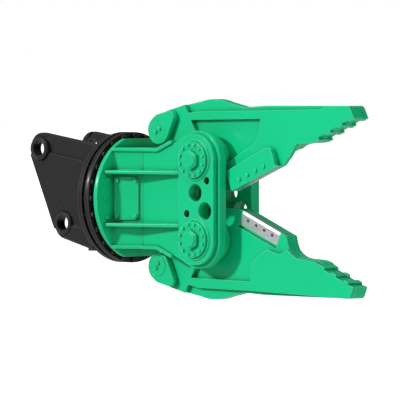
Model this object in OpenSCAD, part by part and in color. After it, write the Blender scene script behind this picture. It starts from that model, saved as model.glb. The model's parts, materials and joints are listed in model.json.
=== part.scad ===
// Dismantling shear for a hydraulic excavator: a slewing head with two jaws that one cylinder closes.
// The slewing axis lies along X, the jaw pivots along Y. The origin is the centre of the arm pin bore.

/* [Mounting bracket] */
// Distance of the arm pin behind the front face of the turning flange
arm_pin_back = 560; // [540:5:600]
// Height of the arm pin above the slewing axis
arm_pin_up = 275; // [265:5:285]
// Distance of the link pin behind the front face of the turning flange
link_pin_back = 370; // [355:5:385]
// Depth of the link pin below the slewing axis
link_pin_down = 148; // [135:1:160]
// Bore for the arm pin and the link pin
pin_bore_d = 90; // [80:1:96]
// Wall of the steel bush in each pin bore
pin_bush_wall = 10; // [8:1:12]
// Clear distance between the two ears
ear_gap = 376; // [366:2:386]
// Thickness of an ear plate
ear_t = 40; // [34:1:44]
// Radius of an ear plate around its pins
ear_r = 92; // [86:1:100]
// Distance from the rim of the slewing ring to the top and bottom of the ear plates at their foot
ear_foot_inset = 68; // [61:1:77]
// Outer diameter of the boss around a pin bore
boss_d = 132; // [124:1:150]
// Height of the boss over the ear plate
boss_h = 30; // [26:1:36]
// Width of the raised bar between the two bosses
bar_w = 70; // [60:1:80]
// Height of the raised bar
bar_h = 20; // [16:1:24]
// Height of the raised panel
panel_h = 12; // [8:1:15]
// Thickness of the webs between the ears
web_t = 20; // [16:1:22]
// Thickness of the bracket plate
bracket_plate_t = 30; // [26:1:34]

/* [Slewing ring] */
// Outer diameter of the slewing ring
ring_d = 746; // [736:2:760]
// Step from the rim of the outer ring to its narrow back part
ring_step = 21; // [18:1:24]
// Thickness of the bolted part of the outer ring
ring_flange_t = 32; // [28:1:36]
// Thickness of the narrow back part of the outer ring
ring_neck_t = 22; // [20:1:26]
// Distance from the rim of the outer ring to the circle of the ball centres
race_inset = 51; // [49:0.5:53]
// Diameter of a bearing ball
ball_d = 32; // [28:1:34]
// Number of bearing balls
ball_count = 40; // [30:1:50]
// Number of bolts in the outer ring
ring_bolt_count = 24; // [18:1:30]
// Diameter of the ring bolts
ring_bolt_d = 18; // [14:1:20]
// Distance from the rim of the outer ring to the pitch circle of its gear
gear_inset = 101; // [100:0.5:102]
// Number of teeth inside the inner ring
ring_teeth = 68; // [68:1:68]
// Number of teeth on the drive pinion
pinion_teeth = 14; // [14:1:14]
// Length of the pinion teeth
pinion_w = 36; // [30:1:38]

/* [Turning flange] */
// Distance from the rim of the slewing ring to the rim of the turning flange
flange_inset = 15; // [11:1:19]
// Depth of the two flats of the turning flange
flat_depth = 22; // [18:1:28]
// Thickness of the turning flange
flange_t = 26; // [24:1:30]
// Gap between the turning flange and the bolted face of the ring
ring_gap = 28; // [26:1:32]
// Distance from the rim of the slewing ring to the circle of the flange bolts
flange_bolt_inset = 82; // [80:0.5:84]
// Diameter of the flange bolts
flange_bolt_d = 20; // [16:1:22]
// Number of bolts in the turning flange
flange_bolt_count = 16; // [12:4:16]

/* [Neck] */
// Length of the neck from the turning flange to the side plates
neck_l = 172; // [166:1:180]
// Half width of the neck at the turning flange
neck_root_y = 224; // [218:1:230]
// Thickness of the slanted neck plates
neck_plate_t = 20; // [16:1:22]
// Height of the neck over its top and bottom plates
neck_h = 576; // [568:2:584]
// Thickness of the top and bottom plates
deck_t = 22; // [18:1:24]
// Overhang of the top and bottom plates past the neck walls
deck_lip = 15; // [12:1:18]
// Length of the flat part of the top and bottom plates
deck_flat_l = 290; // [284:1:296]
// Distance from the raised end of the decks to the jaw pivots
deck_setback = 200; // [195:1:205]
// Height of the raised end of the decks above the slewing axis
deck_end_z = 337; // [333:1:340]
// Half width of the slot in the decks for the jaw tails
slot_half = 112; // [110:1:114]
// Thickness of the stiffening ribs
rib_t = 20; // [16:1:24]
// Height of the ribs above and below the slewing axis
rib_z = 150; // [146:1:154]
// Foot of the ribs from the slewing axis
rib_foot_y = 300; // [290:1:304]
// Thickness of the access covers
cover_t = 10; // [8:1:12]
// Length of an access cover
cover_l = 150; // [140:1:152]
// Height of an access cover
cover_h = 246; // [236:1:250]

/* [Jaw frame] */
// Distance of the cylinder's axis in front of the turning flange
cyl_x = 233; // [228:1:238]
// Height of each jaw pivot from the slewing axis
pivot_z = 225; // [224:1:230]
// Clear distance between the side plates
frame_gap = 210; // [210:1:214]
// Thickness of a side plate
side_t = 56; // [50:1:60]
// Radius of the side plates around the pivots
side_r = 165; // [160:1:166]
// Thickness of a pivot block
block_t = 31; // [26:1:36]
// Radius of a pivot block around the pivots
block_r = 145; // [140:1:150]
// Radius of the raised ring on the pivot block
block_ring_r = 118; // [112:1:124]
// Height of the raised ring
block_ring_h = 8; // [6:1:10]
// Diameter of the jaw pivot pins
pivot_pin_d = 120; // [112:1:122]
// Diameter of the pin flanges
pin_flange_d = 206; // [200:1:210]
// Thickness of the pin flanges
pin_flange_t = 24; // [20:1:28]
// Number of screws in a pin flange
flange_screw_count = 12; // [8:1:12]
// Width of a pivot nut across its corners
pivot_nut_d = 116; // [110:1:120]

/* [Jaws] */
// Distance from a jaw pivot to the middle of the row of teeth
jaw_reach = 1000; // [990:1:1004]
// Thickness of the middle plate of a jaw
core_t = 62; // [58:1:64]
// Thickness of a cheek plate
cheek_t = 30; // [28:1:32]
// Running gap between the two blades
shear_gap = 0.7; // [0.4:0.1:1]
// Radius of the hub between the cheek and the side plate
hub_r = 110; // [106:1:114]
// Wall of the jaw bush
jaw_bush_wall = 10; // [8:1:12]
// Distance from the root of the cut to a shear blade
blade_start = 29; // [25:1:33]
// Distance from the end of a shear blade to the heel of the cut
blade_end_gap = 47.5; // [43:0.5:52]
// Height of a shear blade
blade_h = 76; // [72:1:77]
// Distance from an end of a blade to its first bolt
blade_bolt_end = 54.5; // [48:0.5:60]
// Number of bolts in a blade
blade_bolt_count = 4; // [3:1:4]
// Diameter of the blade bolts
blade_bolt_d = 12; // [10:1:14]
// Thickness of the holder outside the upper blade
holder_t = 39; // [34:1:40]
// Angle through which each jaw closes
jaw_travel = 23.5; // [20:0.1:23.5]

/* [Cylinder] */
// Outer diameter of the cylinder barrel
barrel_d = 160; // [150:1:160]
// Bore of the cylinder barrel
barrel_bore = 130; // [120:1:134]
// Diameter of the piston rod
rod_d = 80; // [70:1:80]
// Diameter of the pins in the jaw tails
tail_pin_d = 80; // [70:1:84]
// Radius of the cylinder eyes
eye_r = 58; // [56:1:60]
// Width of the cylinder eyes and their necks
eye_w = 58; // [50:1:60]

/* [Hidden] */
// Roundness of true circles
$fn = 64;
// Overrun of a cut past the face it opens
over = 1;
// Radial clearance of a fitted bush, pin or screw
fit = 0.05;
// Radial clearance of a bolt in its hole
slip = 0.3;
// Side clearance of washers and eyes
side_play = 0.05;

// Size that the outlines of a jaw are shares of, and the tail pin's place from the pivot in such shares
jaw_size = 1000;
tail_pin_share = [-0.372, 0.159];
// The jaws hang so far in front that their tail pins lie on the cylinder's axis
pivot_x = cyl_x - jaw_size * tail_pin_share[0];
// Places along the slewing axis, from the front face of the turning flange backwards
ring_face_x = -flange_t - ring_gap;
ring_neck_d = ring_d - 2 * ring_step;
race_d = ring_d - 2 * race_inset;
flange_d = ring_d - 2 * flange_inset;
flange_flats = flange_d - 2 * flat_depth;
flange_bolt_circle = ring_d - 2 * flange_bolt_inset;
ear_foot = ring_d / 2 - ear_foot_inset;
ring_neck_x = ring_face_x - ring_flange_t;
plate_face_x = ring_neck_x - ring_neck_t;
ear_x = plate_face_x - bracket_plate_t;
ear_y = ear_gap / 2;
arm_pin = [-arm_pin_back, arm_pin_up];
link_pin = [-link_pin_back, -link_pin_down];
bush_r = pin_bore_d / 2 + pin_bush_wall;
// Reach of the upper and the lower web between the ears
web_reach = [122, 92];
// Gear sizes: tooth height over and under the pitch circle as shares of the module
tip_share = 0.9;
root_share = 1.2;
ring_pitch_r = ring_d / 2 - gear_inset;
gear_module = 2 * ring_pitch_r / ring_teeth;
pinion_pitch_r = gear_module * pinion_teeth / 2;
pinion_z = ring_pitch_r - pinion_pitch_r;
// Axial gap between the inner ring and the bracket plate
ring_end_gap = 8;
// Length of the toothed part of the inner ring, and by how much it outreaches the pinion
gear_spare = 4;
gear_w = pinion_w + gear_spare;
// Radial gap between the inner and the outer ring
race_gap = 1.5;
// Ball clearance in its groove
ball_play = 0.3;
ball_x = (ring_face_x + plate_face_x) / 2;
// Slewing motor: sizes of its flange, gearbox, motor and ports
motor_flange_t = 16;
motor_flange_lug = 86;
motor_lug_r = 22;
// Gap between the gearbox and the upper web
web_gap = 4;
gearbox_d = 2 * (ear_foot - web_t - pinion_z - web_gap);
gearbox_l = 104;
motor_d = 100;
motor_l = 86;
motor_port_d = 30;
motor_port_h = 62;
motor_bolt_d = 16;
pilot_play = 2;
pinion_shaft_d = 50;
pinion_shaft_seat = 60;
// Hydraulic swivel: core with a flange, and the housing that turns with the neck
swivel_core_d = 90;
swivel_core_end = 100;
swivel_flange_d = 160;
swivel_flange_t = 20;
swivel_housing_d = 160;
swivel_housing_end = 110;
swivel_foot_d = 220;
swivel_foot_t = 16;
swivel_port_r = [16, 16, 13, 13];
swivel_port_circle = 27;
swivel_port_l = [72, 60, 48, 36];
swivel_side_port_d = 26;
swivel_boss_d = 46;
swivel_boss_h = 14;

// Outline of convex shapes: a belt laid round circles [x, z, r] in counter-clockwise order
function belt_points(c) = [
    for (i = [0 : len(c) - 1])
        let (a = c[i], b = c[(i + 1) % len(c)],
             d = [b[0] - a[0], b[1] - a[1]], l = norm(d), u = d / l,
             s = (a[2] - b[2]) / l, m = u * s + [u[1], -u[0]] * sqrt(1 - s * s))
        each [[a[0], a[1]] + a[2] * m, [b[0], b[1]] + b[2] * m]];
// Circle centre and radius as one belt entry
function disc(p, r) = [p[0], p[1], r];
// Points on an arc about the origin
function arc_points(r, a0, a1, n) = [for (i = [0 : n]) let (a = a0 + (a1 - a0) * i / n) r * [cos(a),
    sin(a)]];
module belt(c) {
    polygon(belt_points(c));
    for (p = c) if (p[2] > 0) translate([p[0], p[1]]) circle(r = p[2]);
}
// Upright plate between two Y places, from an outline in X and Z
module slab(y0, y1) {
    translate([0, y1, 0]) rotate([90, 0, 0]) linear_extrude(y1 - y0) children();
}
// Cylinder along Y between two Y places, at a point in X and Z
module rod_y(p, r, y0, y1) {
    translate([p[0], y1, p[1]]) rotate([90, 0, 0]) cylinder(r = r, h = y1 - y0);
}
// Cylinder along X between two X places
module rod_x(r, x0, x1) {
    translate([x0, 0, 0]) rotate([0, 90, 0]) cylinder(r = r, h = x1 - x0);
}
// Box between two corners
module box(a, b) {
    translate(a) cube(b - a);
}
module both_sides() {
    children();
    mirror([0, 1, 0]) children();
}
module both_jaws() {
    children();
    mirror([0, 0, 1]) children();
}
// Copies turned evenly about the slewing axis
module round_x(n, r) {
    for (i = [0 : n - 1]) rotate([i * 360 / n, 0, 0]) translate([0, 0, r]) children();
}
// Everything is drawn with the slewing axis on X, and moved so that the arm pin lies at the origin
module placed(paint) {
    color(paint) translate([arm_pin_back, 0, -arm_pin_up]) children();
}
dark = [0.09, 0.09, 0.1];
green = [0.08, 0.72, 0.46];
steel = [0.72, 0.73, 0.75];

// Bracket: outline of an ear with its two bores
module ear_outline() {
    belt([disc(arm_pin, ear_r), disc(link_pin, ear_r), [ear_x, -ear_foot, 0], [ear_x, ear_foot, 0]]);
}
module pin_circles(r) {
    for (p = [arm_pin, link_pin]) translate(p) circle(r = r);
}
module ear_plate() {
    slab(-ear_y - ear_t, -ear_y) difference() {
        ear_outline();
        pin_circles(bush_r + fit);
    }
}
module ear_plate_front() placed(dark) ear_plate();
module ear_plate_back() placed(dark) mirror([0, 1, 0]) ear_plate();
// Direction from the link pin to the arm pin, and the bar and panel that stand on each ear
bar_dir = (arm_pin - link_pin) / norm(arm_pin - link_pin);
bar_out = [-bar_dir[1], bar_dir[0]];
// Setback of the bar from the outer edge of the ear, and heights of the panel's top edge
bar_setback = 8;
panel_top_left = -3;
panel_top_right = 198;
panel_low_right = 190;
foot_h = 22;
foot_inset = 10;
bar_edge = bar_out * (ear_r - bar_setback - bar_w);
module bar_outline() {
    a = bar_out * (ear_r - bar_setback);
    polygon([arm_pin + a, link_pin + a, link_pin + bar_edge, arm_pin + bar_edge]);
}
module without_bosses() {
    difference() {
        children();
        bar_outline();
        pin_circles(boss_d / 2 + slip);
    }
}
module ear_doublers() placed(dark) both_sides() {
    slab(-ear_y - ear_t - bar_h, -ear_y - ear_t) difference() {
        bar_outline();
        pin_circles(boss_d / 2 + slip);
    }
    slab(-ear_y - ear_t - panel_h, -ear_y - ear_t) without_bosses()
        polygon([arm_pin + [0, panel_top_left] + bar_edge, link_pin + bar_edge, link_pin,
                 [ear_x, -panel_low_right], [ear_x, panel_top_right]]);
    slab(-ear_y - ear_t - foot_h, -ear_y - ear_t) without_bosses()
        polygon([link_pin, link_pin + [0, foot_inset - ear_r], [ear_x, foot_inset - ear_foot],
                 [ear_x, -panel_low_right]]);
}
module ear_bosses() placed(dark) both_sides()
    slab(-ear_y - ear_t - boss_h, -ear_y - ear_t) difference() {
        pin_circles(boss_d / 2);
        pin_circles(bush_r + fit);
    }
module pin_bushes() placed(dark) both_sides()
    slab(-ear_y - ear_t - boss_h, -ear_y) difference() {
        pin_circles(bush_r);
        pin_circles(pin_bore_d / 2);
    }
module bracket_plate() placed(dark) difference() {
    rod_x(ring_d / 2, ear_x, plate_face_x);
    rod_x(swivel_core_d / 2 + over, ear_x - over, plate_face_x + over);
    translate([0, 0, pinion_z]) rod_x(pinion_pitch_r + tip_share * gear_module + pilot_play,
                                      ear_x - over, plate_face_x + over);
    round_x(ring_bolt_count, ring_neck_d / 2)
        rod_x(ring_bolt_d / 2 + slip, ear_x - over, plate_face_x + over);
}
module bracket_webs() placed(dark) {
    box([ear_x - web_reach[0], -ear_y, ear_foot - web_t], [ear_x, ear_y, ear_foot]);
    box([ear_x - web_reach[1], -ear_y, -ear_foot], [ear_x, ear_y, web_t - ear_foot]);
}

// Slewing ring: outer ring with its bolts, balls, and the toothed inner ring
module ball_groove() {
    rotate([0, 90, 0]) rotate_extrude() translate([race_d / 2, 0]) circle(r = ball_d / 2 + ball_play);
}
module bearing_outer_ring() placed(dark) difference() {
    union() {
        rod_x(ring_neck_d / 2, plate_face_x, ring_neck_x);
        rod_x(ring_d / 2, ring_neck_x, ring_face_x);
    }
    rod_x(race_d / 2 + race_gap, plate_face_x - over, ring_face_x + over);
    translate([ball_x, 0, 0]) ball_groove();
    round_x(ring_bolt_count, ring_neck_d / 2)
        rod_x(ring_bolt_d / 2 + slip, plate_face_x - over, ring_face_x + over);
}
module ring_bolts() placed(dark) round_x(ring_bolt_count, ring_neck_d / 2) {
    rod_x(ring_bolt_d / 2, ear_x, ring_face_x);
    translate([ring_face_x, 0, 0]) rotate([0, 90, 0])
        cylinder(d = ring_bolt_d * head_share, h = ring_bolt_d * head_h_share, $fn = 6);
}
// Bolt heads as shares of the bolt diameter: width across corners and height
head_share = 1.8;
head_h_share = 0.85;
module bearing_balls() placed(steel) for (i = [0 : ball_count - 1])
    translate([ball_x, 0, 0]) rotate([(i + 0.5) * 360 / ball_count, 0, 0]) translate([0, 0, race_d / 2])
        sphere(d = ball_d);
// Tooth shares: half of the tooth thickness at the root, the pitch circle and the tip, in pitch angles
root_half_share = 0.32;
tip_half_share = 0.13;
// Outline of a gear: [root radius, tip radius] and tooth count
function gear_points(r0, r1, n, h0, h1) = [
    for (i = [0 : n - 1]) each [for (p = [[r0, -h0], [r1, -h1], [r1, h1], [r0, h0]])
        p[0] * [cos((i + p[1]) * 360 / n), sin((i + p[1]) * 360 / n)]]];
inner_ring_back = plate_face_x + ring_end_gap;
gear_front_x = inner_ring_back + gear_w;
inner_lip_r = ring_pitch_r - tip_share * gear_module - slip;
module bearing_inner_ring() placed(steel) difference() {
    rod_x(race_d / 2 - race_gap, inner_ring_back, -flange_t);
    translate([ball_x, 0, 0]) ball_groove();
    rod_x(inner_lip_r, gear_front_x - over, -flange_t + over);
    translate([inner_ring_back - over, 0, 0]) rotate([0, 90, 0]) linear_extrude(gear_w + over)
        polygon(gear_points(ring_pitch_r - tip_share * gear_module,
            ring_pitch_r + root_share * gear_module,
                            ring_teeth, space_root_share, space_tip_share));
    round_x(flange_bolt_count, flange_bolt_circle / 2)
        rod_x(flange_bolt_d / 2 + fit, -flange_t - flange_bolt_l, -flange_t + over);
}
// Half widths of the spaces between the ring's teeth, in pitch angles, at the tips and at the roots
space_root_share = 0.37;
space_tip_share = 0.17;
flange_bolt_l = 22;
module slew_pinion() placed(steel) translate([0, 0, pinion_z]) {
    translate([inner_ring_back + over, 0, 0]) rotate([0, 90, 0]) rotate([0, 0, pinion_phase])
        linear_extrude(pinion_w) polygon(gear_points(pinion_pitch_r - root_share * gear_module,
            pinion_pitch_r + tip_share * gear_module, pinion_teeth, root_half_share, tip_half_share));
    rod_x(pinion_shaft_d / 2, ear_x - pinion_shaft_seat + over, inner_ring_back + over);
}
// The pinion points a tooth at the space between two ring teeth
pinion_phase = 180;
module slew_motor() placed(dark) translate([0, 0, pinion_z]) {
    difference() {
        union() {
            rod_x(gearbox_d / 2, ear_x - gearbox_l, ear_x);
            both_sides() translate([0, motor_flange_lug, 0])
                rod_x(motor_lug_r, ear_x - motor_flange_t, ear_x);
            box([ear_x - motor_flange_t, -motor_flange_lug, -motor_lug_r], [ear_x, motor_flange_lug,
                motor_lug_r]);
            rod_x(motor_d / 2, ear_x - gearbox_l - motor_l, ear_x - gearbox_l);
            for (s = [-1, 1]) translate([ear_x - gearbox_l - motor_l / 2, s * motor_port_d, 0])
                mirror([0, 0, 1]) cylinder(d = motor_port_d, h = motor_port_h);
        }
        rod_x(pinion_shaft_d / 2 + fit, ear_x - pinion_shaft_seat, ear_x + over);
        for (s = [-1, 1])
            translate([ear_x - gearbox_l - motor_l / 2, s * motor_port_d, -motor_port_h - over])
            cylinder(d = motor_port_d / 2, h = motor_port_h / 2);
    }
    both_sides() translate([0, motor_flange_lug, 0]) translate([ear_x - motor_flange_t, 0, 0])
        mirror([1, 0, 0]) rotate([0, 90, 0])
            cylinder(d = motor_bolt_d * head_share, h = motor_bolt_d * head_h_share, $fn = 6);
}

// Hydraulic swivel
module port_places() {
    for (i = [0 : 3]) rotate([i * 90 + 45, 0, 0]) translate([0, 0, swivel_port_circle])
        rod_x(swivel_port_r[i] * port_share, 
            ear_x - swivel_flange_t - over, ear_x - swivel_flange_t + swivel_port_l[i]);
}
// Bore of a port as a share of its thread radius
port_share = 1;
module swivel_core() placed(steel) difference() {
    union() {
        rod_x(swivel_flange_d / 2, ear_x - swivel_flange_t, ear_x);
        rod_x(swivel_core_d / 2, ear_x, swivel_core_end);
    }
    port_places();
}
module swivel_housing() placed(dark) difference() {
    union() {
        rod_x(swivel_foot_d / 2, 0, swivel_foot_t);
        rod_x(swivel_housing_d / 2, 0, swivel_housing_end);
        for (z = [-1, 1]) translate([swivel_housing_end / 2 + swivel_foot_t / 2, 0, 0])
            rotate([90 - z * 90, 0, 0])
                cylinder(d = swivel_boss_d, h = swivel_housing_d / 2 + swivel_boss_h);
    }
    rod_x(swivel_core_d / 2 + fit, -over, swivel_core_end + over);
    for (z = [-1, 1]) translate([swivel_housing_end / 2 + swivel_foot_t / 2, 0, 0])
        rotate([90 - z * 90, 0, 0])
            translate([0, 0, swivel_housing_d / 2 + swivel_boss_h - swivel_boss_d / 2])
            cylinder(d = swivel_side_port_d, h = swivel_boss_d);
}

// Turning flange with two flats, and its dome bolts
module turning_flange() placed(green) difference() {
    intersection() {
        rod_x(flange_d / 2, -flange_t, 0);
        box([-flange_t - over, -flange_d, -flange_flats / 2], [over, flange_d, flange_flats / 2]);
    }
    rod_x(swivel_core_d / 2 + over, -flange_t - over, over);
    round_x(flange_bolt_count, flange_bolt_circle / 2)
        rod_x(flange_bolt_d / 2 + slip, -flange_t - over, over);
}
// Dome heads as shares of the bolt diameter: width, radius of the dome, and its centre below the seat
dome_share = 1.45;
dome_r_share = 0.8;
dome_drop_share = 0.25;
// Domes stand beside the neck only; the bolts that its walls cover are flush with the flange
dome_free_y = neck_root_y + flange_bolt_d * dome_share / 2;
module flange_bolts() placed(green) {
    round_x(flange_bolt_count, flange_bolt_circle / 2)
        rod_x(flange_bolt_d / 2, -flange_t - flange_bolt_l, 0);
    for (i = [0 : flange_bolt_count - 1])
        let (a = i * 360 / flange_bolt_count)
        if (flange_bolt_circle / 2 * abs(sin(a)) > dome_free_y) rotate([a, 0, 0])
            translate([0, 0, flange_bolt_circle / 2])
            rotate([0, 90, 0]) rotate_extrude() intersection() {
                translate([0, -flange_bolt_d * dome_drop_share]) circle(r = flange_bolt_d * dome_r_share);
                square([flange_bolt_d * dome_share / 2, flange_bolt_d]);
            }
}

// Neck: slanted walls between two decks that rise towards the jaws
deck_in = neck_h / 2 - deck_t;
neck_end_y = frame_gap / 2 + side_t;
wall_dir = [neck_l, neck_end_y - neck_root_y] / norm([neck_l, neck_end_y - neck_root_y]);
wall_out = [-wall_dir[1], wall_dir[0]];
// Half width of a deck at the flange and at the side plates
deck_root_y = neck_root_y + deck_lip;
deck_side_y = neck_end_y + deck_lip;
// Inner end of a wall on the flange and on the side plate
wall_in_root = neck_root_y - neck_plate_t / wall_out[1];
wall_in_end = neck_end_y - neck_plate_t / wall_out[1];
module neck_wall() {
    translate([0, 0, -deck_in]) linear_extrude(2 * deck_in)
        polygon([[0, -neck_root_y], [0, -wall_in_root], [neck_l, -wall_in_end], [neck_l, -neck_end_y]]);
}
module neck_plate_front() placed(green) neck_wall();
module neck_plate_back() placed(green) mirror([0, 1, 0]) neck_wall();
deck_end_x = pivot_x - deck_setback;
deck_dir = [deck_end_x - deck_flat_l, deck_end_z - neck_h / 2];
deck_u = deck_dir / norm(deck_dir);
deck_n = [-deck_u[1], deck_u[0]];
// Corner and end of the deck's underside
deck_low_end = [deck_end_x, deck_end_z] - deck_t * deck_n;
deck_low_bend = [deck_low_end[0] - (deck_low_end[1] - deck_in) * deck_u[0] / deck_u[1], deck_in];
slot_start = 118;
module deck() {
    difference() {
        intersection() {
            slab(-deck_root_y - over, deck_root_y + over)
                polygon([[0, deck_in], deck_low_bend, deck_low_end, [deck_end_x, deck_end_z],
                         [deck_flat_l, neck_h / 2], [0, neck_h / 2]]);
            linear_extrude(deck_end_z + over) polygon([[0, -deck_root_y], [neck_l, -deck_side_y],
                [deck_end_x + deck_t, -deck_side_y], [deck_end_x + deck_t, deck_side_y],
                [neck_l, deck_side_y], [0, deck_root_y]]);
        }
        box([slot_start, -slot_half, 0], [deck_end_x + deck_t, slot_half, deck_end_z + over]);
    }
}
module deck_top() placed(green) deck();
module deck_bottom() placed(green) mirror([0, 0, 1]) deck();
// Ribs end against the pivot blocks, this far before the pivots
rib_end_gap = 123;
module neck_ribs() placed(green) both_jaws() both_sides()
    translate([0, 0, rib_z - rib_t / 2]) linear_extrude(rib_t)
        polygon([[0, -rib_foot_y], [rib_end_x, -neck_end_y - block_t], [rib_end_x, -neck_end_y],
                 [neck_l, -neck_end_y], [0, -neck_root_y]]);
// Access covers lie on the slanted walls, in a frame whose X runs along the wall
wall_len = norm([neck_l, neck_end_y - neck_root_y]);
wall_angle = atan2(neck_root_y - neck_end_y, neck_l);
module on_wall() {
    translate([0, -neck_root_y, 0]) rotate([0, 0, wall_angle]) children();
}
// Setback of a cover from the flange, its corner radius, and the places of its four bolts
cover_start = 12;
cover_r = 24;
cover_bolt_d = 14;
cover_bolt_inset = [18, 22];
module cover_outline() {
    belt([[cover_start, -cover_h / 2, 0], [cover_start + cover_l - cover_r, cover_r - cover_h / 2,
        cover_r],
          [cover_start + cover_l - cover_r, cover_h / 2 - cover_r, cover_r], [cover_start,
              cover_h / 2, 0]]);
}
module cover_places() {
    for (x = [cover_start + cover_bolt_inset[0], cover_start + cover_l - cover_bolt_inset[0]], s = [-1, 1])
        translate([x, 0, s * (cover_h / 2 - cover_bolt_inset[1])]) children();
}
module access_covers() placed(green) both_sides() on_wall() difference() {
    slab(-cover_t, 0) cover_outline();
    cover_places() rod_y([0, 0], cover_bolt_d / 2 + slip, -cover_t - over, over);
}
module cover_bolts() placed(green) both_sides() on_wall() cover_places() {
    rod_y([0, 0], cover_bolt_d / 2, -cover_t, 0);
    translate([0, -cover_t, 0]) rotate([90, 0, 0])
        cylinder(d = cover_bolt_d * head_share, h = cover_bolt_d * head_h_share, $fn = 6);
}

// Jaw frame: two side plates, the pivot blocks outside them, and the pivot pins
rib_end_x = pivot_x - rib_end_gap;
upper_pivot = [pivot_x, pivot_z];
lower_pivot = [pivot_x, -pivot_z];
// Openings through the frame, from the middle between the pivots, as shares of the pivot height
window_r_share = 0.227;
window_place_shares = [[0.018, 0.173], [0.351, -0.28]];
hole_r_share = 0.098;
hole_place_shares = [[0.413, 0.484], [-0.271, -0.356]];
module frame_windows() {
    for (p = window_place_shares) translate([pivot_x, 0] + pivot_z * p)
        circle(r = pivot_z * window_r_share);
    for (p = hole_place_shares) translate([pivot_x, 0] + pivot_z * p) circle(r = pivot_z * hole_r_share);
}
module pivot_circles(r) {
    for (p = [upper_pivot, lower_pivot]) translate(p) circle(r = r);
}
block_y = neck_end_y + block_t;
module side_plate() {
    slab(-neck_end_y, -frame_gap / 2) difference() {
        belt([disc(lower_pivot, side_r), disc(upper_pivot, side_r), disc(deck_low_end, 0),
              disc(deck_low_bend, 0), [neck_l, deck_in, 0], [neck_l, -deck_in, 0],
              [deck_low_bend[0], -deck_low_bend[1], 0], [deck_low_end[0], -deck_low_end[1], 0]]);
        pivot_circles(pivot_pin_d / 2 + fit);
        frame_windows();
    }
}
module side_plate_front() placed(green) side_plate();
module side_plate_back() placed(green) mirror([0, 1, 0]) side_plate();
// Screws of the pin flange: diameter, depth in the block, and distance from the flange's rim
flange_screw_d = 10;
flange_screw_depth = 20;
flange_screw_inset = 14.4;
module screw_places() {
    for (p = [upper_pivot, lower_pivot], i = [0 : flange_screw_count - 1])
        let (a = (i + 0.5) * 360 / flange_screw_count)
        translate(p + (pin_flange_d / 2 - flange_screw_inset) * [cos(a), sin(a)]) children();
}
module pivot_block() {
    difference() {
        union() {
            slab(-block_y, -neck_end_y) intersection() {
                belt([disc(lower_pivot, block_r), disc(upper_pivot, block_r)]);
                translate([rib_end_x, -pivot_z - block_r]) square([2 * block_r, 2 * (pivot_z + block_r)]);
            }
            slab(-block_y - block_ring_h, -block_y) difference() {
                pivot_circles(block_ring_r);
                pivot_circles(pin_flange_d / 2 + slip);
            }
        }
        slab(-block_y - block_ring_h - over, -neck_end_y + over) {
            pivot_circles(pivot_pin_d / 2 + fit);
            frame_windows();
        }
        slab(-block_y - over, flange_screw_depth - block_y) screw_places()
            circle(d = flange_screw_d + 2 * fit);
    }
}
module pivot_block_front() placed(green) pivot_block();
module pivot_block_back() placed(green) mirror([0, 1, 0]) pivot_block();
// Stud that carries the pivot nut, and the closed boss on the nut
stud_d = 56;
nut_h = 22;
nut_boss_d = 86;
nut_boss_h = 8;
flange_face_y = block_y + pin_flange_t;
stud_y = flange_face_y + nut_h;
module pivot_pins() placed(steel) for (p = [upper_pivot, lower_pivot]) {
    rod_y(p, pivot_pin_d / 2, -block_y, block_y);
    rod_y(p, stud_d / 2, -stud_y, stud_y);
}
module pin_flanges() placed(green) both_sides() slab(-flange_face_y, -block_y) difference() {
    pivot_circles(pin_flange_d / 2);
    pivot_circles(stud_d / 2 + fit);
    screw_places() circle(d = flange_screw_d + 2 * fit);
}
screw_head_share = 1.5;
module flange_screws() placed(green) both_sides() {
    slab(-flange_face_y, flange_screw_depth - block_y) screw_places() circle(d = flange_screw_d);
    slab(-flange_face_y - flange_screw_d * head_h_share, -flange_face_y)
        screw_places() circle(d = flange_screw_d * screw_head_share);
}
module pivot_nuts() placed(green) both_sides() difference() {
    union() {
        slab(-flange_face_y - nut_h, -flange_face_y) for (p = [upper_pivot, lower_pivot])
            translate(p) rotate(30) circle(d = pivot_nut_d, $fn = 6);
        slab(-stud_y - nut_boss_h, -stud_y) pivot_circles(nut_boss_d / 2);
    }
    slab(-stud_y, -flange_face_y + over) pivot_circles(stud_d / 2 + fit);
}
// Washers between the jaw hubs and the side plates
washer_t = 3;
washer_rim = 4;
hub_y = frame_gap / 2 - washer_t;
module thrust_washers() placed(steel) both_sides()
    slab(-frame_gap / 2 + side_play, -hub_y - side_play) difference() {
        pivot_circles(hub_r - washer_rim);
        pivot_circles(pivot_pin_d / 2 + slip);
    }

// Jaws: each outline is drawn about its own pivot for the upper jaw and mirrored for the lower one
core_y = core_t / 2;
cheek_y = core_y + cheek_t;
module at_jaw(up) {
    translate([pivot_x, 0, up ? pivot_z : -pivot_z]) mirror([0, 0, up ? 0 : 1]) children();
}
// Outlines are shares of the jaw's size, from the pivot. Beyond the blade they stretch to the jaw's reach
stretch_share = 0.605;
function stretched(x) = x < stretch_share ? x
    : stretch_share + (x - stretch_share) * (jaw_reach / jaw_size - stretch_share) / (1 - stretch_share);
function scaled(list) = [for (p = list) jaw_size * [stretched(p[0]), p[1]]];
tail_top_shares = [[-0.344, 0.271], [-0.2, 0.309], [-0.175, 0.262]];
tail_under_shares = [[-0.133, -0.006], [-0.395, 0.106]];
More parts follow.
